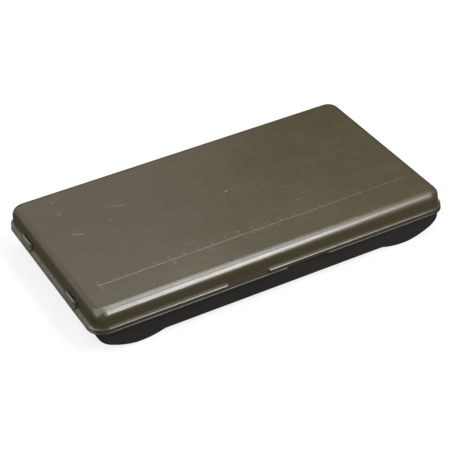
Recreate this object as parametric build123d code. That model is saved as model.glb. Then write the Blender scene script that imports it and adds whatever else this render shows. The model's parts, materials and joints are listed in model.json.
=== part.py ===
from build123d import *
import math
import os

# Rig box for made-up fishing rigs: a shallow moulded base with two deeper end pods,
# a hinged lid with a rolled edge, four flap clips and two removable rig boards.
# Lengths are in millimetres. X runs along the long side, Y from the front to the back
# and Z up from the surface that the box stands on. The drawings are centred on the
# flange outline, and each piece is shifted on export so that the hinge knuckles count
# in the box that the origin is the bottom centre of.

# Overall sizes
BOX_LENGTH = 260.0
BOX_WIDTH = 146.0
FLANGE_CORNER = 11.5
BASE_DEPTH = 18.8
LID_HEIGHT = 14.6

# Base shell
BASE_INSET = 3.15
BASE_CORNER = 6.0
BASE_WALL = 1.9
BASE_EDGE = 2.6
FLANGE_THICKNESS = 1.3
FLANGE_BEVEL = 0.35
LIP_HEIGHT = 3.2
LIP_GAP = 0.3

# End pods of the base: three arcs from the end wall down to a short flat, then a ramp
# up to the higher middle. The ramp's share says how much of it is the hollow lower arc.
POD_SHOULDER_RADIUS = 15.0
POD_SOLE_RADIUS = 56.0
POD_HEEL_RADIUS = 2.9
POD_HEEL_TURN = 7.5
POD_FLAT = 3.2
POD_RAMP = 17.0
POD_DROP = 2.7
POD_RAMP_SHARE = 0.95

# Lid shell
LID_INSET = 1.9
LID_WALL = 1.6
LID_ROOF = 1.8
LID_ROLL = 5.8
LID_DRAFT = 2.0
PARTING_GAP = 0.15
BEAD_INSET = 0.3
BEAD_HEIGHT = 2.65
BEAD_BEVEL = 0.3

# Thumb recesses in the front side, one each side of the middle
RECESS_INNER = 5.0
RECESS_LENGTH = 33.4

# Hinges on the back side
HINGE_SPREAD = 78.0
HINGE_CLEARANCE = 0.4
KNUCKLE_RADIUS = 2.2
LID_KNUCKLE_LENGTH = 14.0
BASE_LUG_LENGTH = 8.0
HINGE_END_GAP = 0.3
HINGE_PIN_RADIUS = 1.0
PIN_SEAT_GAP = 0.02
PIN_RUN_GAP = 0.07
PIN_BEVEL = 0.25
WEB_STEP = 0.1
GUSSET_DROP = 6.0

# Flap clips on the short sides. An inset is measured inwards from the flange's edge.
CLIP_SPREAD = 36.0
CLIP_WIDTH = 14.0
CLIP_SIDE_GAP = 0.6
CLIP_FACE_INSET = 0.1
CLIP_PLATE = 1.4
CLIP_KNEE_ABOVE_BEAD = 0.4
CLIP_SLOPE_HEIGHT = 1.4
CLIP_SLOPE_DEPTH = 1.05
CLIP_NECK = 1.0
CLIP_FOOT_GAP = 0.15
CLIP_TOE_BEVEL = 0.35
CLIP_TOE_HEIGHT = 0.7
CLIP_BARREL_LENGTH = 11.0
CLIP_BARREL_RADIUS = 1.1
CLIP_AXIS_INSET = 1.15
CLIP_AXIS_ABOVE_BEAD = 3.6
CLIP_PIN_RADIUS = 0.5
PIN_HEAD_RADIUS = 0.85
PIN_HEAD = 0.4
EAR_THICKNESS = 1.3
EAR_FLARE = 0.3
EAR_GAP = 0.25

# Bays of the lid that the clips fold into
BAY_DEPTH = 0.9
BAY_SKIN = 1.3
BAY_SIDE_SKIN = 1.3
BAY_ABOVE_BEAD = 0.7
BAY_HEADROOM = 0.8
BAY_BACKING_RISE = 1.0

# Catch teeth on the flange, each behind the foot of a clip
TOOTH_LENGTH = 10.0
TOOTH_THICKNESS = 0.5
TOOTH_NOSE = 0.25
TOOTH_NOSE_HEIGHT = 0.3
TOOTH_NOSE_ABOVE_FOOT = 1.05
TOOTH_TOP = 0.6
TOOTH_BACK_GAP = 0.2
CATCH_GAP = 0.15
CATCH_RELIEF = 0.15

# Rig boards
BOARD_LENGTH = 206.0
BOARD_HEIGHT = 6.0
BOARD_FLOOR = 1.4
BOARD_RIM = 1.6
BOARD_CORNER = 3.0
BOARD_BEVEL = 0.8
BOARD_GAP = 0.3
DIVIDER = 1.6
DIVIDER_HEIGHT = 5.0
BULKHEAD = 1.5
BULKHEAD_TOP = 9.0
FINGER_NOTCH = 26.0
NOTCH_RAISE = 7.15
FOAM_PROUD = 0.6
SOFT_GAP = 0.3
MAGNET_WIDTH = 10.0
MAGNET_BEVEL = 0.4
COMB_THICKNESS = 2.0
COMB_RISE = 2.6
COMB_SLOT = 1.2
COMB_END = 1.5
RIG_PITCH = 9.6
RIG_MARGIN = 1.2
LOOP_PIN_RADIUS = 0.5
LOOP_PIN_HEAD_RADIUS = 1.7
LOOP_PIN_HEAD = 1.2
LOOP_PIN_STAND = 2.6
LOOP_PIN_END = 11.0
LOOP_PIN_HOLE_GAP = 0.05
LOOP_PIN_FOOT_GAP = 0.3

# Heights and places worked out from the sizes above
LID_TOP = BASE_DEPTH + LID_HEIGHT
LID_BOTTOM = BASE_DEPTH + PARTING_GAP
BEAD_TOP = LID_BOTTOM + BEAD_HEIGHT
CAVITY_INSET = BASE_INSET + BASE_WALL
LIP_INSET = LID_INSET + LID_WALL + LIP_GAP
PLATEAU_FLOOR = POD_DROP + BASE_WALL
HINGE_OUT = KNUCKLE_RADIUS + HINGE_CLEARANCE
HINGE_Y = BOX_WIDTH / 2 + HINGE_OUT
BACK_OVERHANG = HINGE_OUT + KNUCKLE_RADIUS
CLIP_AXIS_Z = BEAD_TOP + CLIP_AXIS_ABOVE_BEAD
CLIP_FOOT_Z = BASE_DEPTH + CLIP_FOOT_GAP
CLIP_BACK_INSET = CLIP_FACE_INSET + CLIP_PLATE
BAY_INSET = LID_INSET + BAY_DEPTH
BAY_LOW = BEAD_TOP + BAY_ABOVE_BEAD
BAY_HIGH = CLIP_AXIS_Z + CLIP_BARREL_RADIUS + BAY_HEADROOM
BAY_HALF_LENGTH = CLIP_WIDTH / 2 + CLIP_SIDE_GAP
TOOTH_BACK_INSET = LID_INSET - TOOTH_BACK_GAP
TOOTH_NOSE_INSET = TOOTH_BACK_INSET - TOOTH_THICKNESS - TOOTH_NOSE
TOOTH_NOSE_Z = CLIP_FOOT_Z + TOOTH_NOSE_ABOVE_FOOT
INNER_HALF_WIDTH = BOX_WIDTH / 2 - CAVITY_INSET
BOARD_WIDTH = INNER_HALF_WIDTH - DIVIDER / 2 - 2 * BOARD_GAP
BOARD_Y = DIVIDER / 2 + BOARD_GAP + BOARD_WIDTH / 2
BOARD_TOP = PLATEAU_FLOOR + BOARD_HEIGHT
FOAM_TOP = BOARD_TOP + FOAM_PROUD
RIG_COUNT = int((BOARD_WIDTH - 2 * RIG_MARGIN) / RIG_PITCH)

# Allowances of the modelling itself: how far joined forms run into each other, and how
# far a cutter stands out past the form that it cuts
OVERLAP = 0.5
CLEAR = 1.0


def outline(inset):
    """Plan outline of the box, drawn in by inset all round."""
    return RectangleRounded(
        BOX_LENGTH - 2 * inset, BOX_WIDTH - 2 * inset, FLANGE_CORNER - inset
    )


def plan_prism(inset, low, high):
    """Upright block of the plan outline between two heights."""
    return extrude(Pos(0, 0, low) * outline(inset), high - low)


def block(x_low, x_high, y_low, y_high, z_low, z_high):
    """Plain block between two corners."""
    centre = Pos((x_low + x_high) / 2, (y_low + y_high) / 2, (z_low + z_high) / 2)
    return centre * Box(x_high - x_low, y_high - y_low, z_high - z_low)


def bar_along_x(radius, x_low, x_high, y, z):
    """Round bar that runs along X."""
    bar = Cylinder(radius, x_high - x_low, rotation=(0, 90, 0))
    return Pos((x_low + x_high) / 2, y, z) * bar


def bar_along_y(radius, y_low, y_high, x, z):
    """Round bar that runs along Y."""
    bar = Cylinder(radius, y_high - y_low, rotation=(90, 0, 0))
    return Pos(x, (y_low + y_high) / 2, z) * bar


# Base shell


def pod_arcs():
    """Centres, radii and angles of a right pod's three arcs, from the end wall to the flat."""
    heel = math.radians(POD_HEEL_TURN)
    heel_drop = (POD_SOLE_RADIUS - POD_HEEL_RADIUS) * math.cos(heel) + POD_HEEL_RADIUS
    turn = math.asin((heel_drop - BASE_DEPTH) / (POD_SOLE_RADIUS - POD_SHOULDER_RADIUS))
    shoulder = Vector(BOX_LENGTH / 2 - BASE_INSET - POD_SHOULDER_RADIUS, BASE_DEPTH)
    sole_step = POD_SHOULDER_RADIUS - POD_SOLE_RADIUS
    sole = shoulder + sole_step * Vector(math.cos(turn), -math.sin(turn))
    heel_step = POD_SOLE_RADIUS - POD_HEEL_RADIUS
    heel_centre = sole + heel_step * Vector(math.sin(heel), -math.cos(heel))
    turn_deg = math.degrees(turn)
    return [
        (shoulder, POD_SHOULDER_RADIUS, 0, turn_deg),
        (sole, POD_SOLE_RADIUS, -turn_deg, 90 - POD_HEEL_TURN - turn_deg),
        (heel_centre, POD_HEEL_RADIUS, POD_HEEL_TURN - 90, POD_HEEL_TURN),
    ]


def plateau_half_length():
    """Half the length of the base's higher middle."""
    foot = pod_arcs()[-1][0].X
    return foot - POD_FLAT - POD_RAMP


def base_elevation(inset, top):
    """Front elevation of the base, drawn in by inset: pods at both ends, higher middle."""
    wall_x = BOX_LENGTH / 2 - BASE_INSET - inset
    arcs = pod_arcs()
    foot_outer = arcs[-1][0].X
    foot_inner = foot_outer - POD_FLAT
    middle_x = foot_inner - POD_RAMP
    turn = 2 * math.atan(POD_DROP / POD_RAMP)
    turn_deg = math.degrees(turn)
    radius_sum = POD_RAMP / math.sin(turn)
    hollow = POD_RAMP_SHARE * radius_sum
    crest = radius_sum - hollow
    right = [
        CenterArc(centre, radius - inset, start, -size) for centre, radius, start, size in arcs
    ]
    right.append(Line((foot_outer, inset), (foot_inner, inset)))
    right.append(CenterArc((foot_inner, hollow), hollow - inset, 270, -turn_deg))
    crest_centre = (middle_x, POD_DROP - crest)
    right.append(CenterArc(crest_centre, crest + inset, 90 - turn_deg, turn_deg))
    if top > BASE_DEPTH:
        right.append(Line((wall_x, BASE_DEPTH), (wall_x, top)))
    left = [mirror(edge, about=Plane.YZ) for edge in right]
    middle = Line((middle_x, POD_DROP + inset), (-middle_x, POD_DROP + inset))
    closing = Line((wall_x, top), (-wall_x, top))
    return make_face(right + left + [middle, closing])


def corner_trims(inset, low, high):
    """Four cutters that round the upright corners of the base, drawn in by inset."""
    x = BOX_LENGTH / 2 - BASE_INSET - inset
    y = BOX_WIDTH / 2 - BASE_INSET - inset
    radius = BASE_CORNER - inset
    path = [
        CenterArc((x - radius, y - radius), radius, 0, 90),
        Line((x - radius, y), (x - radius, y + CLEAR)),
        Line((x - radius, y + CLEAR), (x + CLEAR, y + CLEAR)),
        Line((x + CLEAR, y + CLEAR), (x + CLEAR, y - radius)),
        Line((x + CLEAR, y - radius), (x, y - radius)),
    ]
    right_rear = extrude(Pos(0, 0, low) * make_face(path), high - low)
    right_pair = [right_rear, mirror(right_rear, about=Plane.XZ)]
    return right_pair + [mirror(cutter, about=Plane.YZ) for cutter in right_pair]


def base_form(inset, top=BASE_DEPTH, edge=0.0):
    """Solid form of the base, drawn in by inset, its long lower edges rounded by edge."""
    half_width = BOX_WIDTH / 2 - BASE_INSET - inset
    rear = Plane(origin=(0, half_width, 0), x_dir=(1, 0, 0), z_dir=(0, -1, 0))
    body = extrude(rear * base_elevation(inset, top), 2 * half_width)
    if edge > 0:
        walls = body.faces().filter_by(Axis.Y).edges()
        body = fillet([side for side in walls if side.center().Z < BASE_DEPTH - edge / 2], edge)
    for cutter in corner_trims(inset, -CLEAR, top + CLEAR):
        body -= cutter
    return body


def thumb_cutter(x_low, x_high, depth, low, high):
    """Recess in the front edge whose ends turn out in quarter rounds."""
    front = -BOX_WIDTH / 2
    back = front + depth
    outside = front - CLEAR
    path = [
        Line((x_low + depth, back), (x_high - depth, back)),
        RadiusArc((x_high - depth, back), (x_high, front), -depth),
        Line((x_high, front), (x_high, outside)),
        Line((x_high, outside), (x_low, outside)),
        Line((x_low, outside), (x_low, front)),
        RadiusArc((x_low, front), (x_low + depth, back), -depth),
    ]
    return extrude(Pos(0, 0, low) * make_face(path), high - low)


def base_flange():
    """Flange round the base, cut back at the right thumb recess."""
    low = BASE_DEPTH - FLANGE_THICKNESS
    plate = plan_prism(0, low, BASE_DEPTH)
    plate = chamfer(plate.edges().filter_by(Plane.XY), FLANGE_BEVEL)
    recess_end = RECESS_INNER + RECESS_LENGTH
    recess = thumb_cutter(
        RECESS_INNER, recess_end, BASE_INSET, low - CLEAR, BASE_DEPTH + CLEAR
    )
    return plate - recess


def end_extrude(profile, y_low, y_high, side):
    """Extrude an inset by height profile along Y and put it on one short side."""
    solid = extrude(Plane.XZ * profile, -(y_high - y_low))
    solid = Pos(-BOX_LENGTH / 2, y_low, 0) * solid
    if side > 0:
        solid = mirror(solid, about=Plane.YZ)
    return solid


def clip_sites():
    """Y and side, -1 left or 1 right, of each clip."""
    return [(y, side) for side in (-1, 1) for y in (-CLIP_SPREAD, CLIP_SPREAD)]


def catch_tooth(y, side):
    """Tooth on the flange that a clip's foot snaps over, with a sloping top."""
    root = TOOTH_BACK_INSET - TOOTH_THICKNESS
    nose_top = TOOTH_NOSE_Z + TOOTH_NOSE_HEIGHT
    profile = Polyline(
        (root, BASE_DEPTH - OVERLAP),
        (root, TOOTH_NOSE_Z),
        (TOOTH_NOSE_INSET, TOOTH_NOSE_Z),
        (TOOTH_NOSE_INSET, nose_top),
        (root, nose_top + TOOTH_TOP),
        (TOOTH_BACK_INSET, nose_top + TOOTH_TOP),
        (TOOTH_BACK_INSET, BASE_DEPTH - OVERLAP),
        close=True,
    )
    half = TOOTH_LENGTH / 2
    return end_extrude(make_face(profile), y - half, y + half, side)


def base_lug(x_low, x_high):
    """Hinge lug of the base: a round eye, its web and a gusset down the back wall."""
    back = BOX_WIDTH / 2
    wall = back - BASE_INSET - OVERLAP
    low = BASE_DEPTH - KNUCKLE_RADIUS
    web = Polyline(
        (wall, BASE_DEPTH - WEB_STEP),
        (HINGE_Y, BASE_DEPTH - WEB_STEP),
        (HINGE_Y, low),
        (back, low),
        (wall, low - GUSSET_DROP),
        close=True,
    )
    web_solid = extrude(Pos(x_low, 0, 0) * (Plane.YZ * make_face(web)), x_high - x_low)
    eye = bar_along_x(KNUCKLE_RADIUS, x_low, x_high, HINGE_Y, BASE_DEPTH)
    bore = HINGE_PIN_RADIUS + PIN_SEAT_GAP
    hole = bar_along_x(bore, x_low - CLEAR, x_high + CLEAR, HINGE_Y, BASE_DEPTH)
    return eye + web_solid - hole


def board_fences():
    """Ribs in the base that locate the boards: one down the middle, one at each end."""
    cavity = base_form(BASE_WALL - OVERLAP)
    middle = plateau_half_length()
    half = DIVIDER / 2
    low = PLATEAU_FLOOR - OVERLAP
    divider = block(-middle, middle, -half, half, low, PLATEAU_FLOOR + DIVIDER_HEIGHT)
    rib_x = BOARD_LENGTH / 2 + BOARD_GAP
    rib_end = rib_x + BULKHEAD
    right_rib = block(rib_x, rib_end, -BOX_WIDTH / 2, BOX_WIDTH / 2, 0, BULKHEAD_TOP)
    for y in (-BOARD_Y, BOARD_Y):
        right_rib -= bar_along_x(
            FINGER_NOTCH / 2, rib_x - CLEAR, rib_end + CLEAR, y, BULKHEAD_TOP + NOTCH_RAISE
        )
    right_rib &= cavity
    return [divider, right_rib, mirror(right_rib, about=Plane.YZ)]


def hinge_spans():
    """X spans of each hinge's pieces: the lid knuckle, then the two base lugs."""
    half = LID_KNUCKLE_LENGTH / 2
    start = half + HINGE_END_GAP
    spans = []
    for x in (-HINGE_SPREAD, HINGE_SPREAD):
        lugs = [
            (x - start - BASE_LUG_LENGTH, x - start),
            (x + start, x + start + BASE_LUG_LENGTH),
        ]
        spans.append(((x - half, x + half), lugs))
    return spans


def base_tray():
    """Moulded base with pods, flange, locating lip, hinge lugs and board ribs."""
    lip_top = BASE_DEPTH + LIP_HEIGHT
    tray = base_form(0, edge=BASE_EDGE) + base_flange()
    tray += plan_prism(LIP_INSET, BASE_DEPTH - OVERLAP, lip_top)
    for _, lugs in hinge_spans():
        for x_low, x_high in lugs:
            tray += base_lug(x_low, x_high)
    tray -= base_form(BASE_WALL, lip_top + CLEAR)
    for fence in board_fences():
        tray += fence
    for y, side in clip_sites():
        tray += catch_tooth(y, side)
    return tray


# Lid shell


def lid_block(inset, low, top, roll):
    """Upright block with draft on its sides and a rolled top edge."""
    face = Pos(0, 0, low) * outline(inset)
    body = extrude(face, top - low, taper=LID_DRAFT)
    top_edges = body.faces().sort_by(Axis.Z)[-1].edges()
    return fillet(top_edges, roll)


def lid_bead():
    """Bead round the lower edge of the lid, cut away at the left thumb recess and clips."""
    plate = plan_prism(BEAD_INSET, LID_BOTTOM, BEAD_TOP)
    plate = chamfer(plate.edges().filter_by(Plane.XY), BEAD_BEVEL)
    ring = plate - plan_prism(LID_INSET + OVERLAP, LID_BOTTOM, BEAD_TOP)
    low = LID_BOTTOM - CLEAR
    high = BEAD_TOP + CLEAR
    ring -= thumb_cutter(-RECESS_INNER - RECESS_LENGTH, -RECESS_INNER, LID_INSET, low, high)
    window = make_face(
        Polyline((-CLEAR, low), (LID_INSET, low), (LID_INSET, high), (-CLEAR, high), close=True)
    )
    for y, side in clip_sites():
        ring -= end_extrude(window, y - BAY_HALF_LENGTH, y + BAY_HALF_LENGTH, side)
    return ring


def lid_knuckle(x_low, x_high):
    """Hinge knuckle of the lid with its web to the bead."""
    wall = BOX_WIDTH / 2 - LID_INSET - OVERLAP
    web = block(x_low, x_high, wall, HINGE_Y, LID_BOTTOM, BASE_DEPTH + KNUCKLE_RADIUS)
    eye = bar_along_x(KNUCKLE_RADIUS, x_low, x_high, HINGE_Y, BASE_DEPTH)
    bore = HINGE_PIN_RADIUS + PIN_RUN_GAP
    hole = bar_along_x(bore, x_low - CLEAR, x_high + CLEAR, HINGE_Y, BASE_DEPTH)
    return eye + web - hole


def bay_cutter(y, side):
    """Recess in the lid's side wall that the clip folds into, with a sloping sill."""
    profile = Polyline(
        (-CLEAR, BAY_LOW - BAY_DEPTH),
        (LID_INSET, BAY_LOW),
        (BAY_INSET, BAY_LOW + BAY_DEPTH),
        (BAY_INSET, BAY_HIGH),
        (-CLEAR, BAY_HIGH),
        close=True,
    )
    return end_extrude(make_face(profile), y - BAY_HALF_LENGTH, y + BAY_HALF_LENGTH, side)


def bay_backing(y, side):
    """Inner skin that keeps the wall's thickness behind a bay."""
    half = BAY_HALF_LENGTH + BAY_SIDE_SKIN
    back = BAY_INSET + BAY_SKIN
    start = LID_INSET + LID_WALL / 2
    profile = Polyline(
        (start, BAY_LOW),
        (back, BAY_LOW + back - start),
        (back, BAY_HIGH),
        (start, BAY_HIGH + BAY_BACKING_RISE),
        close=True,
    )
    return end_extrude(make_face(profile), y - half, y + half, side)


def clip_ears(y, side):
    """Two ears of the lid that hold one clip's pin."""
    x = CLIP_AXIS_INSET
    z = CLIP_AXIS_Z
    r = CLIP_BARREL_RADIUS
    root = BAY_INSET + OVERLAP
    web = Polyline(
        (x, z + r),
        (root, z + r + EAR_FLARE),
        (root, z - r - EAR_FLARE),
        (x, z - r),
        close=True,
    )
    profile = make_face(web) + Pos(x, z) * Circle(r)
    profile -= Pos(x, z) * Circle(CLIP_PIN_RADIUS + PIN_SEAT_GAP)
    start = CLIP_BARREL_LENGTH / 2 + EAR_GAP
    end = start + EAR_THICKNESS
    front = end_extrude(profile, y - end, y - start, side)
    rear = end_extrude(profile, y + start, y + end, side)
    return [front, rear]


def lid():
    """Moulded lid with bead, hinge knuckles, clip bays and clip ears."""
    shell = lid_block(LID_INSET, LID_BOTTOM, LID_TOP, LID_ROLL)
    inner_roll = LID_ROLL - LID_ROOF
    cavity = lid_block(LID_INSET + LID_WALL, LID_BOTTOM, LID_TOP - LID_ROOF, inner_roll)
    for y, side in clip_sites():
        shell -= bay_cutter(y, side)
        cavity -= bay_backing(y, side)
    shell -= cavity
    shell += lid_bead()
    for knuckle, _ in hinge_spans():
        shell += lid_knuckle(knuckle[0], knuckle[1])
    for y, side in clip_sites():
        for ear in clip_ears(y, side):
            shell += ear
    return shell


# Clips and pins


def clip_section():
    """Section of a clip below its barrel: neck, sloping face, plate and hollowed foot."""
    outer_neck = CLIP_FACE_INSET + CLIP_SLOPE_DEPTH
    inner_neck = outer_neck + CLIP_NECK
    knee = BEAD_TOP + CLIP_KNEE_ABOVE_BEAD
    shoulder = knee + CLIP_SLOPE_HEIGHT
    toe = TOOTH_NOSE_INSET - CATCH_GAP
    toe_top = CLIP_FOOT_Z + CLIP_TOE_HEIGHT
    hollow = toe - CATCH_RELIEF
    hollow_top = TOOTH_NOSE_Z + TOOTH_NOSE_HEIGHT + TOOTH_TOP + CATCH_GAP
    return make_face(
        Polyline(
            (outer_neck, CLIP_AXIS_Z),
            (outer_neck, shoulder),
            (CLIP_FACE_INSET, knee),
            (CLIP_FACE_INSET, CLIP_FOOT_Z),
            (toe - CLIP_TOE_BEVEL, CLIP_FOOT_Z),
            (toe, CLIP_FOOT_Z + CLIP_TOE_BEVEL),
            (toe, toe_top),
            (hollow, toe_top + CATCH_RELIEF),
            (hollow, hollow_top),
            (CLIP_BACK_INSET, hollow_top + CLIP_BACK_INSET - hollow),
            (inner_neck, shoulder),
            (inner_neck, CLIP_AXIS_Z),
            close=True,
        )
    )


def side_clip(y, side):
    """Flap clip: barrel round the pin, neck, sloping plate and foot."""
    centre = Pos(CLIP_AXIS_INSET, CLIP_AXIS_Z)
    bore = centre * Circle(CLIP_PIN_RADIUS + PIN_RUN_GAP)
    section = clip_section() - bore
    barrel = centre * Circle(CLIP_BARREL_RADIUS) - bore
    half = CLIP_BARREL_LENGTH / 2
    clip = end_extrude(barrel + section, y - half, y + half, side)
    ear_reach = CLIP_BARREL_RADIUS + EAR_FLARE + EAR_GAP
    lower = section - Pos(0, CLIP_AXIS_Z) * Rectangle(2 * BOX_WIDTH, 2 * ear_reach)
    clip += end_extrude(lower, y - CLIP_WIDTH / 2, y + CLIP_WIDTH / 2, side)
    return clip


def clip_pin(y, side):
    """Steel pin through a clip and its ears, with a small head at its front end."""
    half = CLIP_BARREL_LENGTH / 2 + EAR_GAP + EAR_THICKNESS
    x = side * (BOX_LENGTH / 2 - CLIP_AXIS_INSET)
    shank = bar_along_y(CLIP_PIN_RADIUS, y - half, y + half, x, CLIP_AXIS_Z)
    head = bar_along_y(PIN_HEAD_RADIUS, y - half - PIN_HEAD, y - half, x, CLIP_AXIS_Z)
    return shank + head


def hinge_pin(x):
    """Plain steel pin of one lid hinge."""
    half = LID_KNUCKLE_LENGTH / 2 + HINGE_END_GAP + BASE_LUG_LENGTH
    pin = bar_along_x(HINGE_PIN_RADIUS, x - half, x + half, HINGE_Y, BASE_DEPTH)
    return chamfer(pin.edges().filter_by(GeomType.CIRCLE), PIN_BEVEL)


# Rig boards


def board_x():
    """Places along a board: magnet pocket, comb and foam recess, as X pairs."""
    start = -BOARD_LENGTH / 2 + BOARD_RIM
    magnet = (start, start + MAGNET_WIDTH + 2 * BOARD_GAP)
    comb = (magnet[1], magnet[1] + COMB_THICKNESS)
    foam = (comb[1], BOARD_LENGTH / 2 - BOARD_RIM)
    return magnet, comb, foam


def rig_rows():
    """Y offsets of the rigs from the middle of a board."""
    return [(i - (RIG_COUNT - 1) / 2) * RIG_PITCH for i in range(RIG_COUNT)]


def rig_board(y):
    """Tray of one rig board: magnet pocket, slotted comb and foam recess."""
    outer = extrude(
        Pos(0, y, PLATEAU_FLOOR) * RectangleRounded(BOARD_LENGTH, BOARD_WIDTH, BOARD_CORNER),
        BOARD_HEIGHT,
    )
    board = chamfer(outer.faces().sort_by(Axis.Z)[0].edges(), BOARD_BEVEL)
    half = BOARD_WIDTH / 2 - BOARD_RIM
    floor = PLATEAU_FLOOR + BOARD_FLOOR
    magnet, comb, foam = board_x()
    for x_low, x_high in (magnet, foam):
        pocket = block(x_low, x_high, y - half, y + half, floor, BOARD_TOP + CLEAR)
        upright = pocket.edges().filter_by(Axis.Z)
        board -= fillet(upright, BOARD_CORNER - BOARD_RIM)
    reach = rig_rows()[-1] + COMB_END
    comb_top = BOARD_TOP + COMB_RISE
    board += block(comb[0], comb[1], y - reach, y + reach, BOARD_TOP - OVERLAP, comb_top)
    for offset in rig_rows():
        slot_low = y + offset - COMB_SLOT / 2
        slot_high = y + offset + COMB_SLOT / 2
        board -= block(
            comb[0] - CLEAR, comb[1] + CLEAR, slot_low, slot_high, FOAM_TOP, comb_top + CLEAR
        )
    return board


def loop_pin_places(y):
    """Plan places of a board's loop pins."""
    x = BOARD_LENGTH / 2 - LOOP_PIN_END
    return [(x, y + offset) for offset in rig_rows()]


def foam_pad(y):
    """Foam pad of one board, with a hole for each loop pin."""
    _, _, foam = board_x()
    half = BOARD_WIDTH / 2 - BOARD_RIM - SOFT_GAP
    low = PLATEAU_FLOOR + BOARD_FLOOR
    pad = block(foam[0] + SOFT_GAP, foam[1] - SOFT_GAP, y - half, y + half, low, FOAM_TOP)
    pad = fillet(pad.edges().filter_by(Axis.Z), BOARD_CORNER - BOARD_RIM)
    hole = Cylinder(LOOP_PIN_RADIUS + LOOP_PIN_HOLE_GAP, FOAM_TOP - low)
    for pin_x, pin_y in loop_pin_places(y):
        pad -= Pos(pin_x, pin_y, (low + FOAM_TOP) / 2) * hole
    return pad


def hook_magnet(y):
    """Magnet strip that holds the hooks at the left end of a board."""
    magnet, _, _ = board_x()
    half = BOARD_WIDTH / 2 - BOARD_RIM - BOARD_GAP
    low = PLATEAU_FLOOR + BOARD_FLOOR
    strip = block(
        magnet[0] + BOARD_GAP, magnet[1] - BOARD_GAP, y - half, y + half, low, BOARD_TOP
    )
    strip = fillet(strip.edges().filter_by(Axis.Z), BOARD_CORNER - BOARD_RIM)
    return chamfer(strip.faces().sort_by(Axis.Z)[-1].edges(), MAGNET_BEVEL)


def loop_pin():
    """One headed pin, upright over the origin of the plan."""
    foot = PLATEAU_FLOOR + BOARD_FLOOR + LOOP_PIN_FOOT_GAP
    head_low = FOAM_TOP + LOOP_PIN_STAND
    head_high = head_low + LOOP_PIN_HEAD
    shank = Pos(0, 0, (foot + head_high) / 2) * Cylinder(LOOP_PIN_RADIUS, head_high - foot)
    head = Pos(0, 0, (head_low + head_high) / 2) * Cylinder(LOOP_PIN_HEAD_RADIUS, LOOP_PIN_HEAD)
    return shank + head


def loop_pins(y):
    """Row of headed pins of one board, as separate solids."""
    pin = loop_pin()
    row = Part()
    for pin_x, pin_y in loop_pin_places(y):
        row += Pos(pin_x, pin_y, 0) * pin
    return row


def pieces():
    """Every piece of the box by its node name."""
    nodes = {"base_tray": base_tray(), "lid": lid()}
    nodes["hinge_pin_left"] = hinge_pin(-HINGE_SPREAD)
    nodes["hinge_pin_right"] = hinge_pin(HINGE_SPREAD)
    for side_name, side in (("left", -1), ("right", 1)):
        for place, y in (("front", -CLIP_SPREAD), ("rear", CLIP_SPREAD)):
            nodes[f"side_clip_{side_name}_{place}"] = side_clip(y, side)
            nodes[f"clip_pin_{side_name}_{place}"] = clip_pin(y, side)
    for place, y in (("front", -BOARD_Y), ("rear", BOARD_Y)):
        nodes[f"rig_board_{place}"] = rig_board(y)
        nodes[f"foam_pad_{place}"] = foam_pad(y)
        nodes[f"hook_magnet_{place}"] = hook_magnet(y)
        nodes[f"loop_pins_{place}"] = loop_pins(y)
    return nodes


def main():
    os.makedirs("parts", exist_ok=True)
    shift = Pos(0, -BACK_OVERHANG / 2, 0)
    for name, shape in pieces().items():
        export_step(shift * shape, f"parts/{name}.step")


main()
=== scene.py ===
import json
import math

import bmesh
import bpy
from mathutils import Matrix, Vector

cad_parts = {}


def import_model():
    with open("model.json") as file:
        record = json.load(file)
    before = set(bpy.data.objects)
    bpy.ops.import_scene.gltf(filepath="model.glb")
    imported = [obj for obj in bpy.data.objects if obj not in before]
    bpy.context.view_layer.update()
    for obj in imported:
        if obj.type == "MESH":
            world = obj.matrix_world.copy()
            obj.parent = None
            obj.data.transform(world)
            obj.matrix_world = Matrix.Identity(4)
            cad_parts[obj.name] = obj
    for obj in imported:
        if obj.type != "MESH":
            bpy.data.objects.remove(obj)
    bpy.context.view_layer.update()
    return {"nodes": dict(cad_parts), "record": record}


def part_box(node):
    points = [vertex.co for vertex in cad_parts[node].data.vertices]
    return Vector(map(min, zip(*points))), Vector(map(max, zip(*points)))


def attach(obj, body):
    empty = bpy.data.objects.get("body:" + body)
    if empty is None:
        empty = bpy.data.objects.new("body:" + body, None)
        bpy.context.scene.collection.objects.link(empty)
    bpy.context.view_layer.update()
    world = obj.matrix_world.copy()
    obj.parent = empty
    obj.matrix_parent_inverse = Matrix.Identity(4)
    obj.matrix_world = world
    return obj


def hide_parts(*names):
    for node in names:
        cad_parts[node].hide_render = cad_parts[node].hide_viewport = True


# The looks of a rig box: moulded plastic, steel, foam and magnet finishes, the ruler and
# gate mark on the lid, the foam pads, the floor, the lights and the camera.
# Blender's lengths are metres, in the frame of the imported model. The sizes named below
# are millimetres, apart from those of the camera, the lamps and the floor.

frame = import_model()

MM = 0.001

# Camera, from the photograph's vanishing lines and outline. Its place and clips are
# metres, its lens and sensor millimetres.
CAMERA_PLACE = (-0.37939, -0.76873, 0.61401)
CAMERA_RIGHT = (0.879558, -0.473253, -0.049054)
CAMERA_UP = (0.308737, 0.489262, 0.815657)
CAMERA_FORWARD = (0.362016, 0.732559, -0.576455)
CAMERA_LENS = 123.64
SENSOR_WIDTH = 36.0
CLIP_START = 0.05
CLIP_END = 20.0

# Relief on the lid: how far it stands up, and how far its foot sinks in
RELIEF = 0.012
RELIEF_FOOT = 0.02

# Ruler, from the middle of the box
RULER_Y = -46.4
RULER_START = -113.0
RULER_END = 116.0
CM_FIRST = -112.0
CM_PITCH = 10.07
CM_MARKS = 23
INCH_FIRST = -111.8
INCH_PITCH = 25.44
INCH_MARKS = 9

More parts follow.
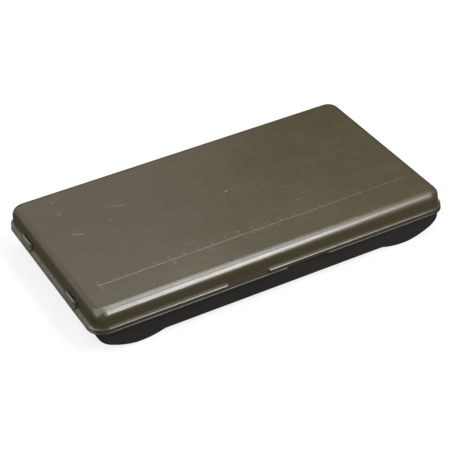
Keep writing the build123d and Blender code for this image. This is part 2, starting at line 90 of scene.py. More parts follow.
# Ruler's strokes: half widths and slopes of the long line, the main and the fine marks,
# how much lower the fine marks are, and where every mark starts beside the long line
LINE_HALF, LINE_SLOPE = 0.2, 0.06
MAIN_HALF, MAIN_SLOPE = 0.14, 0.04
FINE_HALF, FINE_SLOPE = 0.06, 0.02
FINE_DROP = 0.004
MARK_START = 0.22

# Ruler's marks, as reaches from the long line, and its digits
CM_REACH = 2.1
FIFTH_CM_REACH = 2.9
HALF_CM_REACH = 1.35
FINE_CM_REACH = 0.8
INCH_REACH = 2.6
INCH_EIGHTH_REACHES = (0.85, 1.3, 0.85, 1.7, 0.85, 1.3, 0.85)
DIGIT_SIZE = 1.9
CM_DIGIT_GAP = 1.35
INCH_DIGIT_REACH = 4.0
UPPER_SIDE, LOWER_SIDE = 1, -1

# Gate mark's rings, as x, y, inner and outer radius
GATE_RINGS = [(4.4, 3.4, 0.45, 1.0), (6.5, 4.3, 0.12, 0.5)]
RING_STEPS = 28

# Foam pads, the dimples' spread in square millimetres
PAD_CROWN = 0.5
PAD_EDGE = 0.9
PAD_PULL = 0.3
PAD_FOOT_PULL = 0.4
PAD_DIMPLE = 0.7
PAD_DIMPLE_SPREAD = 1.1
PAD_WAVE = 0.05
PAD_LIFT = 0.02
PAD_STEP = 2.2
PAD_FINE_STEP = 0.45
PINS_IN_ROW = 6
PIN_HEAD_RADIUS = 1.7
PIN_HOLE_RADIUS = 0.56
PIN_HOLE_SIDES = 16

# Where the masks of the finishes lie: the middle of the box, the rims at both ends, which
# carry a painted sheen, as a start along X and a top, and the space that the lid's core fills
BOX_MIDDLE_Y = -2.4
LID_RIM = (126.6, 22.4)
BASE_RIM = (127.0, 19.5)
BASE_RIM_FOOT = (15.8, 16.6)
RIM_FADE_X = 2.0
RIM_FADE_Z = 0.7
CORE_HALF_LENGTH = (125.8, 125.0)
CORE_HALF_WIDTH = (68.8, 68.0)
CORE_TOP = (32.8, 32.4)
RULER_FADE = (-60, 90)

# Plastics' colours
OLIVE = (0.0450, 0.0355, 0.0135)
OLIVE_WARM = (0.0515, 0.0402, 0.0155)
OLIVE_WORN = (0.15, 0.138, 0.108)
# Painted sheen: the rims at both ends painted paler, standing in for reflected light
RIM_PAINTED_SHEEN = (0.21, 0.20, 0.165)
# Clip plastic painted lighter than the lid's, standing in for the light on its sloping faces;
# its pale edges are wear and painted highlight
CLIP_OLIVE_PAINTED_LIT = (0.112, 0.104, 0.080)
CLIP_WARM_PAINTED_LIT = (0.146, 0.136, 0.108)
CLIP_WEAR_AND_HIGHLIGHT = (0.34, 0.33, 0.29)
BASE_BLACK = (0.0190, 0.0176, 0.0148)
BASE_BROWN = (0.0250, 0.0226, 0.0184)
# Base's pale hairlines and edges: wear, with a painted highlight on the edges
BASE_WEAR_AND_HIGHLIGHT = (0.12, 0.112, 0.094)
BOARD_BLACK = (0.02, 0.02, 0.02)
BOARD_GREY = (0.028, 0.028, 0.027)
BOARD_WORN = (0.07, 0.07, 0.068)
RELIEF_DARK = (0.17, 0.155, 0.110)
RELIEF_PALE = (0.32, 0.295, 0.225)
RELIEF_FADED = (0.075, 0.067, 0.045)

# Plastics' gloss. Roughness stays above 0.28, because the denoiser treats lower values
# as mirrors, and a range across that limit comes out as blotches.
OLIVE_ROUGH = (0.285, 0.33)
OLIVE_SPECULAR, OLIVE_IOR = 0.85, 1.585
DARK_SPECULAR, DARK_IOR = 0.5, 1.5
RELIEF_IOR = 1.48
BASE_ROUGH = 0.38
BOARD_ROUGH = 0.42
DARK_ROUGH_SPAN = 0.09
CORE_ROUGHER = 0.2
MARKS_ROUGHER = 0.2
RUBBED_SMOOTHER = 0.02
BASE_GRAIN = 1800.0
BOARD_GRAIN = 2400.0
PLASTIC_EDGE = 0.5 * MM
MAGNET_EDGE = 0.4 * MM

# Scuffs that the lid's top shows, as x, y, turn in degrees, half length and half width
SCUFFS = [
    (-102.6, 38.8, 20, 1.7, 1.1),
    (-101.2, 53.9, 0, 1.1, 0.8),
    (-100.4, 10.8, -30, 4.2, 0.8),
    (-103.0, 12.3, -30, 1.4, 1.0),
    (-64.4, 26.7, -22, 4.8, 0.5),
    (-75.6, 14.8, 40, 1.6, 0.5),
    (-80.5, -16.5, 10, 1.4, 0.4),
]

# Hairline scratches, as turn in degrees, scale across and along, the noise values
# between which they fade in, and the pattern's shift
OLIVE_HAIRS = [
    (28, 2600, 24, 0.70, 0.76, (0, 0, 0)),
    (-52, 3000, 30, 0.71, 0.77, (0.3, 0.1, 0)),
    (8, 2200, 18, 0.72, 0.78, (0.7, 0.4, 0)),
]
DARK_HAIRS = [
    (12, 2400, 26, 0.70, 0.77, (0, 0, 0)),
    (-38, 2800, 30, 0.71, 0.78, (0.2, 0.6, 0)),
]

# Floor and world. The camera sees the floor pale, and mirrored and bounced rays see it
# dark, which keeps the box's walls as dark as the photograph shows them.
FLOOR_HALF = 6
FLOOR_PALE = 0.95
FLOOR_GREY = 0.05
FLOOR_ROUGH = 0.9
FLOOR_SPECULAR = 0.1
CAMERA_WHITE = 0.8
MIRROR_WHITE = 0.04
WORLD_LEVEL = 0.12

# Lamps, as name, size, radiance, azimuth from +Y towards +X, elevation and distance, in
# metres and degrees
LAMPS = [
    ("key", (0.28, 0.84), 13.0, 159.5, 35, 1.15),
    ("high", (0.28, 0.88), 7.8, 137, 66, 1.15),
    ("over", (0.32, 0.74), 4.2, 38, 67, 1.15),
    ("fill", (1.3, 1.3), 1.45, -80, 60, 1.3),
    ("left", (0.26, 0.26), 17.0, 249, 30, 1.2),
    ("back", (1.7, 0.75), 0.42, -10, 30, 1.5),
]


# Node helpers


class Nodes:
    """A material's node tree with short calls for the nodes used here."""

    def __init__(self, name):
        self.mat = bpy.data.materials.new(name)
        self.mat.use_nodes = True
        self.tree = self.mat.node_tree
        self.shader = self.tree.nodes["Principled BSDF"]
        self.place = self.tree.nodes.new("ShaderNodeTexCoord").outputs["Object"]

    def link(self, value, socket):
        """Join an output to a socket, or set the socket to a plain value."""
        if isinstance(value, bpy.types.NodeSocket):
            self.tree.links.new(value, socket)
        else:
            socket.default_value = value

    def math(self, kind, a, b=0.0, clamp=False):
        """Result of an operation on one value or two."""
        node = self.tree.nodes.new("ShaderNodeMath")
        node.operation = kind
        node.use_clamp = clamp
        for value, socket in zip((a, b), node.inputs):
            self.link(value, socket)
        return node.outputs[0]

    def product(self, first, *others):
        """Product of masks and plain values."""
        for other in others:
            first = self.math("MULTIPLY", first, other)
        return first

    def largest(self, first, *others):
        """Largest of several masks."""
        for other in others:
            first = self.math("MAXIMUM", first, other)
        return first

    def split(self, vector):
        """The X, Y and Z of a vector."""
        node = self.tree.nodes.new("ShaderNodeSeparateXYZ")
        self.link(vector, node.inputs[0])
        return node.outputs["X"], node.outputs["Y"], node.outputs["Z"]

    def mapped(self, scale, turn=(0, 0, 0), shift=(0, 0, 0)):
        """Object coordinates, shifted, turned in degrees and scaled."""
        node = self.tree.nodes.new("ShaderNodeMapping")
        node.vector_type = "POINT"
        node.inputs["Location"].default_value = shift
        node.inputs["Rotation"].default_value = [math.radians(v) for v in turn]
        node.inputs["Scale"].default_value = scale
        self.link(self.place, node.inputs["Vector"])
        return node.outputs[0]

    def noise(self, scale, detail=2.0, rough=0.5, where=None):
        """Noise at object coordinates, or at others if they are given."""
        node = self.tree.nodes.new("ShaderNodeTexNoise")
        node.inputs["Scale"].default_value = scale
        node.inputs["Detail"].default_value = detail
        node.inputs["Roughness"].default_value = rough
        self.link(where or self.place, node.inputs["Vector"])
        return node.outputs["Fac"]

    def cells(self, scale):
        """Distance to the nearest point of a cell pattern."""
        node = self.tree.nodes.new("ShaderNodeTexVoronoi")
        node.feature = "F1"
        node.inputs["Scale"].default_value = scale
        self.link(self.place, node.inputs["Vector"])
        return node.outputs["Distance"]

    def ramp(self, value, low, high, out_low=0.0, out_high=1.0):
        """Smooth step of a value between two bounds, which may run downwards."""
        node = self.tree.nodes.new("ShaderNodeMapRange")
        node.interpolation_type = "SMOOTHSTEP"
        self.link(value, node.inputs["Value"])
        node.inputs["From Min"].default_value = low
        node.inputs["From Max"].default_value = high
        node.inputs["To Min"].default_value = out_low
        node.inputs["To Max"].default_value = out_high
        return node.outputs["Result"]

    def mix(self, fac, a, b):
        """Mix of two colours."""
        node = self.tree.nodes.new("ShaderNodeMix")
        node.data_type = "RGBA"
        self.link(fac, node.inputs[0])
        for value, socket in ((a, node.inputs[6]), (b, node.inputs[7])):
            self.link(value if isinstance(value, bpy.types.NodeSocket) else (*value, 1), socket)
        return node.outputs[2]

    def edge(self, radius):
        """Mask of the outer and inner edges, from the bevelled normal."""
        bevel = self.tree.nodes.new("ShaderNodeBevel")
        bevel.samples = 4
        bevel.inputs["Radius"].default_value = radius
        plain = self.tree.nodes.new("ShaderNodeNewGeometry")
        dot = self.tree.nodes.new("ShaderNodeVectorMath")
        dot.operation = "DOT_PRODUCT"
        self.link(bevel.outputs[0], dot.inputs[0])
        self.link(plain.outputs["Normal"], dot.inputs[1])
        return self.ramp(dot.outputs["Value"], 0.99, 0.8)

    def rubbed_edge(self, radius, scale, least, most):
        """Mask of edges, in patches of a noise's scale: wear, which on the base and clips is
        also a painted highlight.
        """
        patches = self.ramp(self.noise(scale, 3.0), 0.4, 0.7, least, most)
        return self.product(self.edge(radius), patches)

    def bump(self, height, distance, strength, under=None):
        """Bump of a depth in millimetres, on top of another bump if one is given."""
        node = self.tree.nodes.new("ShaderNodeBump")
        node.inputs["Strength"].default_value = strength
        node.inputs["Distance"].default_value = distance * MM
        self.link(height, node.inputs["Height"])
        if under:
            self.link(under, node.inputs["Normal"])
        return node.outputs[0]

    def hairs(self, turn, across, along, low, high, shift):
        """Rare hairline scratches that run one way."""
        where = self.mapped((along, across, along), (0, 0, turn), shift)
        return self.ramp(self.noise(1.0, 1.0, 0.4, where), low, high)

    def scratches(self, rows, patch, strength):
        """Hairline scratches that run several ways, in patches."""
        hair = self.largest(*[self.hairs(*row) for row in rows])
        return self.product(hair, self.product(patch, strength))

    def streak(self, x, y, turn, half_length, half_width):
        """One short scuff at a place on the lid, in millimetres, through its whole wall."""
        local = self.mapped((1, 1, 0), shift=(-x * MM, -y * MM, 0))
        spin = self.tree.nodes.new("ShaderNodeVectorRotate")
        spin.rotation_type = "Z_AXIS"
        spin.inputs["Angle"].default_value = math.radians(-turn)
        self.link(local, spin.inputs["Vector"])
        along, across, _ = self.split(spin.outputs[0])
        length, width = half_length * MM, half_width * MM
        end = self.ramp(self.math("ABSOLUTE", along), length, 0.4 * length)
        side = self.ramp(self.math("ABSOLUTE", across), width, 0.2 * width)
        return self.product(end, side)

    def rubbed_ends(self, start, top):
        """Mask of the rim at both ends, painted paler as a sheen of reflected light."""
        x, _, z = self.split(self.place)
        out = self.ramp(self.math("ABSOLUTE", x), start * MM, (start + RIM_FADE_X) * MM)
        low = self.ramp(z, (top + RIM_FADE_Z) * MM, (top - RIM_FADE_Z) * MM)
        # Patches in the rim's painted sheen
        pale_patches = self.ramp(self.noise(240.0, 3.0, 0.6), 0.3, 0.7, 0.6, 1.0)
        return self.product(out, low, pale_patches)

    def inside(self):
        """Mask of the lid's inner faces, which the mould's core leaves rougher."""
        x, y, z = self.split(self.place)
        y = self.math("ADD", y, -BOX_MIDDLE_Y * MM)
        long = self.ramp(self.math("ABSOLUTE", x), *[v * MM for v in CORE_HALF_LENGTH])
        wide = self.ramp(self.math("ABSOLUTE", y), *[v * MM for v in CORE_HALF_WIDTH])
        low = self.ramp(z, *[v * MM for v in CORE_TOP])
        return self.product(long, wide, low)

    def finish(self, color, roughness, normal, specular=None, ior=None, metallic=None):
        """Give the shader its inputs, and return the material."""
        self.link(color, self.shader.inputs["Base Color"])
        self.link(roughness, self.shader.inputs["Roughness"])
        self.link(normal, self.shader.inputs["Normal"])
        plain = {"Specular IOR Level": specular, "IOR": ior, "Metallic": metallic}
        for socket, value in plain.items():
            if value is not None:
                self.shader.inputs[socket].default_value = value
        return self.mat


# Materials


def olive_plastic(name, dark, light, pale_patches, scuffs=(), rim=False):
    """Satin olive moulded plastic with flow clouds, hairlines, dust pits and pale edges, which
    are wear and on the clips also painted highlight; with rim, the rim's ends get a painted
    sheen.
    """
    n = Nodes(name)
    cloud = n.ramp(n.noise(14.0, 3.0, 0.55), 0.35, 0.65)
    mottle = n.ramp(n.noise(260.0, 3.0, 0.6), 0.3, 0.7, -0.10, 0.10)
    body = n.mix(n.math("ADD", cloud, mottle, clamp=True), dark, light)
    marks = n.scratches(OLIVE_HAIRS, n.ramp(n.noise(22.0, 2.0), 0.42, 0.62), 0.55)
    for scuff in scuffs:
        broken = n.ramp(n.noise(900.0, 2.0), 0.36, 0.56, 0.25, 1.0)
        marks = n.largest(marks, n.product(n.streak(*scuff), broken))
    dusty = n.ramp(n.noise(60.0, 1.0), 0.66, 0.74, 0.0, 0.3)
    pits = n.product(n.ramp(n.cells(240.0), 0.085, 0.05), dusty)
    # Pale edges: wear, and on the clips a painted highlight
    edge_wear_and_highlight = n.rubbed_edge(PLASTIC_EDGE, 160.0, 0.15, 0.75)
    color = n.mix(n.largest(marks, pits, edge_wear_and_highlight), body, pale_patches)
    satin = n.ramp(n.noise(70.0, 4.0, 0.6), 0.3, 0.7, *OLIVE_ROUGH)
    if rim:
        # Painted sheen of reflected light on the rim's ends
        color = n.mix(n.rubbed_ends(*LID_RIM), color, RIM_PAINTED_SHEEN)
        satin = n.math("ADD", satin, n.product(n.inside(), CORE_ROUGHER))
    rough = n.math("ADD", satin, n.product(marks, MARKS_ROUGHER), clamp=True)
    grain = n.bump(n.noise(2600.0, 2.0, 0.55), 0.006, 0.6)
    wave = n.bump(n.noise(26.0, 1.0, 0.4), 0.10, 0.35, grain)
    scratch = n.bump(marks, 0.02, 0.5, wave)
    return n.finish(color, rough, scratch, OLIVE_SPECULAR, OLIVE_IOR)


def dark_plastic(name, dark, light, pale_patches, grain_scale, rough, rim=False):
    """Dark moulded plastic with a spark-eroded grain, faint clouds, rubs and pale edges, which
    are wear and on the base also painted highlight; with rim, the rim's ends get a painted
    sheen.
    """
    n = Nodes(name)
    cloud = n.ramp(n.noise(18.0, 3.0, 0.55), 0.3, 0.7)
    fine = n.ramp(n.noise(700.0, 2.0), 0.3, 0.7, -0.2, 0.2)
    body = n.mix(n.math("ADD", cloud, fine, clamp=True), dark, light)
    hair = n.scratches(DARK_HAIRS, n.ramp(n.noise(30.0, 2.0), 0.48, 0.66), 0.5)
    # Pale edges: wear, and on the base a painted highlight
    edge_wear_and_highlight = n.rubbed_edge(PLASTIC_EDGE, 190.0, 0.1, 0.7)
    color = n.mix(n.largest(hair, edge_wear_and_highlight), body, pale_patches)
    if rim:
        height = n.split(n.place)[2]
        above = n.ramp(height, *[v * MM for v in BASE_RIM_FOOT])
        # Painted sheen of reflected light on the rim's ends, above its foot
        color = n.mix(n.product(above, n.rubbed_ends(*BASE_RIM)), color, RIM_PAINTED_SHEEN)
    satin = n.ramp(n.noise(85.0, 4.0, 0.6), 0.3, 0.7, rough, rough + DARK_ROUGH_SPAN)
    satin = n.math("SUBTRACT", satin, n.product(edge_wear_and_highlight, RUBBED_SMOOTHER))
    pitted = n.bump(n.noise(grain_scale, 3.0, 0.6), 0.02, 0.55)
    return n.finish(color, satin, n.bump(hair, 0.02, 0.4, pitted), DARK_SPECULAR, DARK_IOR)


def steel():
    """Drawn steel wire with fine lengthwise and round marks."""
    n = Nodes("pin_steel")
    drawn = n.noise(1.0, 3.0, 0.6, n.mapped((120, 6000, 6000)))
    turned = n.noise(1.0, 3.0, 0.6, n.mapped((4200, 300, 300)))
    spots = n.ramp(n.noise(300.0, 3.0), 0.5, 0.75)
    color = n.mix(n.ramp(drawn, 0.3, 0.7), (0.42, 0.42, 0.40), (0.62, 0.61, 0.59))
    color = n.mix(n.product(spots, 0.5), color, (0.25, 0.23, 0.2))
    rough = n.ramp(turned, 0.3, 0.7, 0.29, 0.42)
    normal = n.bump(n.math("ADD", drawn, turned), 0.006, 0.5)
    return n.finish(color, rough, normal, metallic=1.0)


def foam():
    """Closed-cell foam: cut cells of two sizes, with painted shade in their hollows and pale
    skins.
    """
    n = Nodes("foam_cells")
    warp = n.noise(260.0, 2.0)
    coarse = n.ramp(n.cells(1500.0), 0.0, 0.55)
    fine = n.ramp(n.cells(3400.0), 0.0, 0.6)
    cell = n.product(coarse, fine)
    # Painted shade: the colour darkens in the cells' hollows, where the bump sinks
    color = n.mix(cell, (0.014, 0.0145, 0.014), (0.05, 0.052, 0.05))
    color = n.mix(n.ramp(warp, 0.35, 0.7, 0.0, 0.35), color, (0.032, 0.034, 0.032))
    rough = n.ramp(cell, 0.0, 1.0, 0.96, 0.78)
    normal = n.bump(cell, 0.12, 0.7, n.bump(warp, 0.2, 0.3))
    return n.finish(color, rough, normal, specular=0.3)


def magnet():
    """Bonded magnet strip: fine ground face with grit and rubbed corners."""
    n = Nodes("magnet_strip")
    ground = n.noise(1.0, 3.0, 0.6, n.mapped((2600, 160, 2600)))
    grit = n.ramp(n.cells(2200.0), 0.0, 0.4)
    color = n.mix(n.ramp(ground, 0.3, 0.7), (0.03, 0.028, 0.026), (0.055, 0.052, 0.05))
    color = n.mix(n.product(grit, 0.25), color, (0.08, 0.078, 0.075))
    color = n.mix(n.rubbed_edge(MAGNET_EDGE, 220.0, 0.2, 0.8), color, (0.13, 0.125, 0.12))
    rough = n.ramp(ground, 0.3, 0.7, 0.48, 0.66)
    normal = n.bump(n.math("ADD", ground, grit), 0.02, 0.5)
    return n.finish(color, rough, normal)


def relief_plastic():
    """The ruler's raised lines: the lid's plastic, rubbed pale, less so to the right."""
    n = Nodes("ruler_relief")
    pale_patches = n.ramp(n.noise(520.0, 3.0, 0.6), 0.35, 0.65)
    run = n.ramp(n.noise(1.0, 2.0, 0.5, n.mapped((60, 20, 20))), 0.35, 0.65)
    color = n.mix(n.product(pale_patches, run), RELIEF_DARK, RELIEF_PALE)
    faded = n.ramp(n.split(n.place)[0], *[v * MM for v in RULER_FADE], 0.0, 0.6)
    color = n.mix(faded, color, RELIEF_FADED)
    rough = n.ramp(pale_patches, 0.0, 1.0, 0.36, 0.5)
    return n.finish(color, rough, n.bump(pale_patches, 0.01, 0.5), ior=RELIEF_IOR)


# Mesh helpers. Their sizes are millimetres, and the vertices are metres.


def made_mesh(name, build):
    """Turn a finished bmesh into a mesh."""
    mesh = bpy.data.meshes.new(name)
    build.to_mesh(mesh)
    build.free()
    return mesh


def new_piece(name, mesh, material, body):
    """Add a piece that rides on a body and takes a slot's finish."""
    piece = bpy.data.objects.new(name, mesh)
    bpy.context.scene.collection.objects.link(piece)
    mesh.materials.append(material)
    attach(piece, body)
    return piece


def bevelled_bar(build, x_low, x_high, y_low, y_high, base, top, slope):
    """Low bar with sloping sides, as moulded relief has."""
    rings = []
    for z, inset in ((base, 0.0), (top, slope)):
        corners = (
            (x_low + inset, y_low + inset),
            (x_high - inset, y_low + inset),
            (x_high - inset, y_high - inset),
            (x_low + inset, y_high - inset),
        )
        rings.append([build.verts.new((x * MM, y * MM, z * MM)) for x, y in corners])
    for k in range(4):
        j = (k + 1) % 4
        build.faces.new((rings[0][k], rings[0][j], rings[1][j], rings[1][k]))
    build.faces.new(rings[1])
    build.faces.new(rings[0][::-1])


def relief_ring(build, x, y, inner, outer, base, top):
    """Small raised ring with sloping sides."""
    loops = []
    mid = 0.25 * (outer - inner)
    for radius, z in ((outer, base), (outer - mid, top), (inner + mid, top), (inner, base)):
        loop = []
        for k in range(RING_STEPS):
            a = 2 * math.pi * k / RING_STEPS
            place = (x + radius * math.cos(a), y + radius * math.sin(a), z)
            loop.append(build.verts.new([v * MM for v in place]))
        loops.append(loop)
    for a, b in ((0, 1), (1, 2), (2, 3), (3, 0)):
        for k in range(RING_STEPS):
            j = (k + 1) % RING_STEPS
            build.faces.new((loops[a][k], loops[a][j], loops[b][j], loops[b][k]))


def add_digits(build, text, x, y, base, top):
    """Raised digits of plain type, centred on a place."""
    curve = bpy.data.curves.new("digits", "FONT")
    curve.body = text
    curve.size = DIGIT_SIZE * MM
    curve.align_x = "CENTER"
    curve.align_y = "CENTER"
    curve.extrude = (top - base) / 2 * MM
    curve.resolution_u = 3
    shape = bpy.data.objects.new("digits", curve)
    mesh = bpy.data.meshes.new_from_object(shape)
    mesh.transform(Matrix.Translation((x * MM, y * MM, (top + base) / 2 * MM)))
    build.from_mesh(mesh)
    bpy.data.meshes.remove(mesh)
    bpy.data.objects.remove(shape)
    bpy.data.curves.remove(curve)


def ruler(top_z):
    """The lid's moulded ruler, with centimetre marks one side, inch marks the other."""
    build = bmesh.new()
    base = top_z - RELIEF_FOOT
    top = top_z + RELIEF

    def mark(x, side, reach, half, slope, drop=0.0):
        low, high = sorted((RULER_Y + side * MARK_START, RULER_Y + side * reach))
        bevelled_bar(build, x - half, x + half, low, high, base, top - drop, slope)

    line = (RULER_START, RULER_END, RULER_Y - LINE_HALF, RULER_Y + LINE_HALF)
    bevelled_bar(build, *line, base, top, LINE_SLOPE)
    for k in range(CM_MARKS):
        x = CM_FIRST + CM_PITCH * k
        reach = FIFTH_CM_REACH if k % 5 == 0 else CM_REACH
        mark(x, UPPER_SIDE, reach, MAIN_HALF, MAIN_SLOPE)
        add_digits(build, str(k), x, RULER_Y + reach + CM_DIGIT_GAP, base, top)
        if k == CM_MARKS - 1:
            break
        for part in range(1, 10):
            reach = HALF_CM_REACH if part == 5 else FINE_CM_REACH
            at = x + CM_PITCH * part / 10
            mark(at, UPPER_SIDE, reach, FINE_HALF, FINE_SLOPE, FINE_DROP)
    for k in range(INCH_MARKS):
        x = INCH_FIRST + INCH_PITCH * k
        mark(x, LOWER_SIDE, INCH_REACH, MAIN_HALF, MAIN_SLOPE)
        add_digits(build, str(k), x, RULER_Y - INCH_DIGIT_REACH, base, top)
        for part, reach in enumerate(INCH_EIGHTH_REACHES, start=1):
            at = x + INCH_PITCH * part / 8
            if at < RULER_END:
                mark(at, LOWER_SIDE, reach, FINE_HALF, FINE_SLOPE, FINE_DROP)
    return made_mesh("lid_ruler", build)


def gate_mark(top_z):
    """Moulding gate mark: a small ring with a nub beside it."""
    build = bmesh.new()
    for x, y, inner, outer in GATE_RINGS:
        relief_ring(build, x, y, inner, outer, top_z - RELIEF_FOOT, top_z + RELIEF)
    return made_mesh("lid_gate_mark", build)


def spread(low, high, dense):
    """Grid lines from low to high, closer together near the dense places."""
    lines = [low]
    at = low
    while at < high - 1e-6:
        near = any(abs(at - place) < PAD_STEP for place in dense)
        at = min(at + (PAD_FINE_STEP if near else PAD_STEP), high)
        lines.append(at)
    return lines


def pad_fall(x, y, u, v, gap, pins):
    """How far a pad's top lies below its highest level, as four falls.

    x and y are a place, u and v are its shares of the half length and half width, and gap
    is its distance from the nearest side.
    """
    crown = PAD_CROWN * (1 - (1 - u**8) * (1 - v**6))
    round_off = 0.0
    if gap < PAD_EDGE:
        round_off = PAD_EDGE - math.sqrt(max(0.0, PAD_EDGE**2 - (PAD_EDGE - gap) ** 2))
    press = sum(
        PAD_DIMPLE * math.exp(-((x - px) ** 2 + (y - py) ** 2) / PAD_DIMPLE_SPREAD)
        for px, py in pins
    )
    ripple = math.sin(0.31 * x + 1.3 * math.sin(0.17 * y)) * math.sin(0.27 * y)
    return crown, round_off, press, PAD_WAVE + PAD_WAVE * ripple


def pad_mesh(name, low, high, pins):
    """Foam pad: crowned top, rounded edges, drawn-in sides and a pressed hollow at each pin."""
    x0, y0, z0 = [v / MM for v in low]
    x1, y1, z1 = [v / MM for v in high]
    xs = spread(x0, x1, [x0, x1] + [p[0] for p in pins])
    ys = spread(y0, y1, [y0, y1] + [p[1] for p in pins])
    mid_x, mid_y = (x0 + x1) / 2, (y0 + y1) / 2
    half_x, half_y = (x1 - x0) / 2, (y1 - y0) / 2
    build = bmesh.new()
    top, foot = [], []
    for x in xs:
        row_top, row_foot = [], []
        for y in ys:
            u, v = (x - mid_x) / half_x, (y - mid_y) / half_y
            gap = min(half_x - abs(x - mid_x), half_y - abs(y - mid_y))
            z = z1
            for fall in pad_fall(x, y, u, v, gap, pins):
                z -= fall
            pull_x = PAD_PULL * (1 - v * v) * u**7
            pull_y = PAD_PULL * (1 - u * u) * v**7
            foot_place = (x - PAD_FOOT_PULL * pull_x, y - PAD_FOOT_PULL * pull_y)
            row_top.append(build.verts.new((x - pull_x, y - pull_y, z)))
            row_foot.append(build.verts.new((*foot_place, z0 + PAD_LIFT)))
        top.append(row_top)
        foot.append(row_foot)
    last_x, last_y = len(xs) - 1, len(ys) - 1
    for i in range(last_x):
        for j in range(last_y):
            build.faces.new((top[i][j], top[i + 1][j], top[i + 1][j + 1], top[i][j + 1]))
            build.faces.new((foot[i][j + 1], foot[i + 1][j + 1], foot[i + 1][j], foot[i][j]))
    loop = [(i, 0) for i in range(last_x)] + [(last_x, j) for j in range(last_y)]
    loop += [(i, last_y) for i in range(last_x, 0, -1)] + [(0, j) for j in range(last_y, 0, -1)]
    for k, (i, j) in enumerate(loop):
        m, n = loop[(k + 1) % len(loop)]
        build.faces.new((foot[i][j], foot[m][n], top[m][n], top[i][j]))
    bmesh.ops.scale(build, vec=(MM, MM, MM), verts=build.verts)
    bmesh.ops.recalc_face_normals(build, faces=build.faces)
    mesh = made_mesh(name, build)
    for face in mesh.polygons:
        face.use_smooth = True
    return mesh


def pin_holes(pad, pins, low_z, high_z):
    """Cut the pins' holes through a pad, whose heights are metres."""
    cutter = bmesh.new()
    radius = PIN_HOLE_RADIUS * MM
    depth = high_z - low_z + 2 * MM
    for x, y in pins:
        spot = Matrix.Translation((x * MM, y * MM, (low_z + high_z) / 2))
        bmesh.ops.create_cone(
            cutter, cap_ends=True, segments=PIN_HOLE_SIDES, radius1=radius, radius2=radius,
            depth=depth, matrix=spot,
        )
    mesh = made_mesh("pin_holes", cutter)
    tool = bpy.data.objects.new("pin_holes", mesh)
    bpy.context.scene.collection.objects.link(tool)
    cut = pad.modifiers.new("holes", "BOOLEAN")
    cut.operation = "DIFFERENCE"
    cut.solver = "EXACT"
    cut.object = tool
    bpy.context.view_layer.update()
    shaped = pad.evaluated_get(bpy.context.evaluated_depsgraph_get())
    shaped = bpy.data.meshes.new_from_object(shaped)
    pad.modifiers.clear()
    pad.data = shaped
    bpy.data.objects.remove(tool)
    bpy.data.meshes.remove(mesh)


def foam_pad(end, material):
    """One soft pad in place of its CAD block, with holes where its board's pins stand."""
    low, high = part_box(f"foam_pad_{end}")
    pin_low, pin_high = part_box(f"loop_pins_{end}")
    pin_x = (pin_low[0] + pin_high[0]) / 2 / MM
    first = pin_low[1] / MM + PIN_HEAD_RADIUS
    last = pin_high[1] / MM - PIN_HEAD_RADIUS
    gaps = PINS_IN_ROW - 1
    pins = [(pin_x, first + (last - first) * k / gaps) for k in range(PINS_IN_ROW)]
    name = f"soft_pad_{end}"
    pad = new_piece(name, pad_mesh(name, low, high, pins), material, "base")
    pin_holes(pad, pins, low[2], high[2])
    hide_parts(f"foam_pad_{end}")


# Stage


def camera():
    """Camera at the photograph's place and angle."""
    data = bpy.data.cameras.new("camera")
    data.lens = CAMERA_LENS
    data.sensor_width = SENSOR_WIDTH
    data.clip_start = CLIP_START
    data.clip_end = CLIP_END
    eye = bpy.data.objects.new("camera", data)
    back = -Vector(CAMERA_FORWARD)
    turn = Matrix((Vector(CAMERA_RIGHT), Vector(CAMERA_UP), back)).transposed().to_4x4()
    eye.matrix_world = Matrix.Translation(CAMERA_PLACE) @ turn
    bpy.context.scene.collection.objects.link(eye)
    bpy.context.scene.camera = eye


def seen_white(tree, shade):
    """Blend the floor's shade with white: strongly for the camera, faintly for mirrors."""
    path = tree.nodes.new("ShaderNodeLightPath")
    total = path.outputs["Is Camera Ray"]
    for kind in ("Is Glossy Ray", "Is Transmission Ray"):
        joined = tree.nodes.new("ShaderNodeMath")
        joined.operation = "MULTIPLY_ADD"
        tree.links.new(path.outputs[kind], joined.inputs[0])
        joined.inputs[1].default_value = MIRROR_WHITE / CAMERA_WHITE
        tree.links.new(total, joined.inputs[2])
        total = joined.outputs[0]
    weight = tree.nodes.new("ShaderNodeMath")
    weight.operation = "MULTIPLY"
    weight.inputs[1].default_value = CAMERA_WHITE
    weight.use_clamp = True
    tree.links.new(total, weight.inputs[0])
    white = tree.nodes.new("ShaderNodeEmission")
    white.inputs["Strength"].default_value = 1.0
    blend = tree.nodes.new("ShaderNodeMixShader")
    tree.links.new(weight.outputs[0], blend.inputs[0])
    tree.links.new(shade, blend.inputs[1])
    tree.links.new(white.outputs[0], blend.inputs[2])
    return blend.outputs[0]


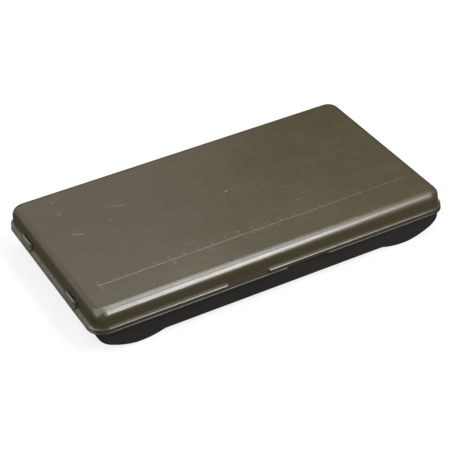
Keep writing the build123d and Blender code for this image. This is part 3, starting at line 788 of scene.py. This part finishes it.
def floor():
    """Plain floor that the camera sees as nearly white, with the box's soft shadow."""
    mesh = bpy.data.meshes.new("floor")
    near, far = -FLOOR_HALF, FLOOR_HALF
    corners = [(near, near, 0), (far, near, 0), (far, far, 0), (near, far, 0)]
    mesh.from_pydata(corners, [], [(0, 1, 2, 3)])
    plane = bpy.data.objects.new("floor", mesh)
    bpy.context.scene.collection.objects.link(plane)
    mat = bpy.data.materials.new("floor_pale")
    mat.use_nodes = True
    tree = mat.node_tree
    shader = tree.nodes["Principled BSDF"]
    tint = tree.nodes.new("ShaderNodeMix")
    tint.data_type = "RGBA"
    tint.inputs[6].default_value = (FLOOR_GREY, FLOOR_GREY, FLOOR_GREY, 1)
    tint.inputs[7].default_value = (FLOOR_PALE, FLOOR_PALE, FLOOR_PALE, 1)
    path = tree.nodes.new("ShaderNodeLightPath")
    tree.links.new(path.outputs["Is Camera Ray"], tint.inputs[0])
    tree.links.new(tint.outputs[2], shader.inputs["Base Color"])
    shader.inputs["Roughness"].default_value = FLOOR_ROUGH
    shader.inputs["Specular IOR Level"].default_value = FLOOR_SPECULAR
    result = seen_white(tree, shader.outputs[0])
    tree.links.new(result, tree.nodes["Material Output"].inputs["Surface"])
    mesh.materials.append(mat)


def world():
    """Soft even surround."""
    sky = bpy.data.worlds.new("world")
    sky.use_nodes = True
    soft = sky.node_tree.nodes["Background"]
    soft.inputs["Color"].default_value = (1, 1, 1, 1)
    soft.inputs["Strength"].default_value = WORLD_LEVEL
    bpy.context.scene.world = sky


def softbox(name, size, level, azimuth, elevation, distance):
    """Soft lamp of a level of radiance, aimed at the origin, its second side towards +Y."""
    data = bpy.data.lights.new(name, "AREA")
    data.shape = "RECTANGLE"
    data.size, data.size_y = size
    data.energy = level * math.pi * size[0] * size[1]
    lamp = bpy.data.objects.new(name, data)
    a, e = math.radians(azimuth), math.radians(elevation)
    away = Vector((math.sin(a) * math.cos(e), math.cos(a) * math.cos(e), math.sin(e)))
    along = (Vector((0, 1, 0)) - away.y * away).normalized()
    turn = Matrix((along.cross(away), along, away)).transposed().to_4x4()
    lamp.matrix_world = Matrix.Translation(distance * away) @ turn
    bpy.context.scene.collection.objects.link(lamp)


camera()

# Materials on the CAD nodes
finishes = {
    "lid_plastic": olive_plastic("lid_olive", OLIVE, OLIVE_WARM, OLIVE_WORN, SCUFFS, rim=True),
    # The clips' colours carry painted light: lighter faces and highlighted edges
    "clip_plastic": olive_plastic("clip_olive_painted_lit", CLIP_OLIVE_PAINTED_LIT, CLIP_WARM_PAINTED_LIT, CLIP_WEAR_AND_HIGHLIGHT),
    "base_plastic": dark_plastic(
        "base_dark", BASE_BLACK, BASE_BROWN, BASE_WEAR_AND_HIGHLIGHT, BASE_GRAIN, BASE_ROUGH, rim=True
    ),
    "board_plastic": dark_plastic(
        "board_dark", BOARD_BLACK, BOARD_GREY, BOARD_WORN, BOARD_GRAIN, BOARD_ROUGH
    ),
    "pin_steel": steel(),
    "foam": foam(),
    "magnet": magnet(),
}
for row in frame["record"]["subparts"]:
    node = frame["nodes"][row["node"]]
    node.data.materials.clear()
    node.data.materials.append(finishes[row["material_slot"]])

# Ruler and gate mark on the lid
lid_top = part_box("lid")[1][2] / MM
relief = relief_plastic()
new_piece("lid_ruler", ruler(lid_top), relief, "lid_body")
new_piece("lid_gate_mark", gate_mark(lid_top), relief, "lid_body")

for end in ("front", "rear"):
    foam_pad(end, finishes["foam"])

floor()
world()
for lamp in LAMPS:
    softbox(*lamp)

bpy.context.scene.view_settings.view_transform = "Standard"
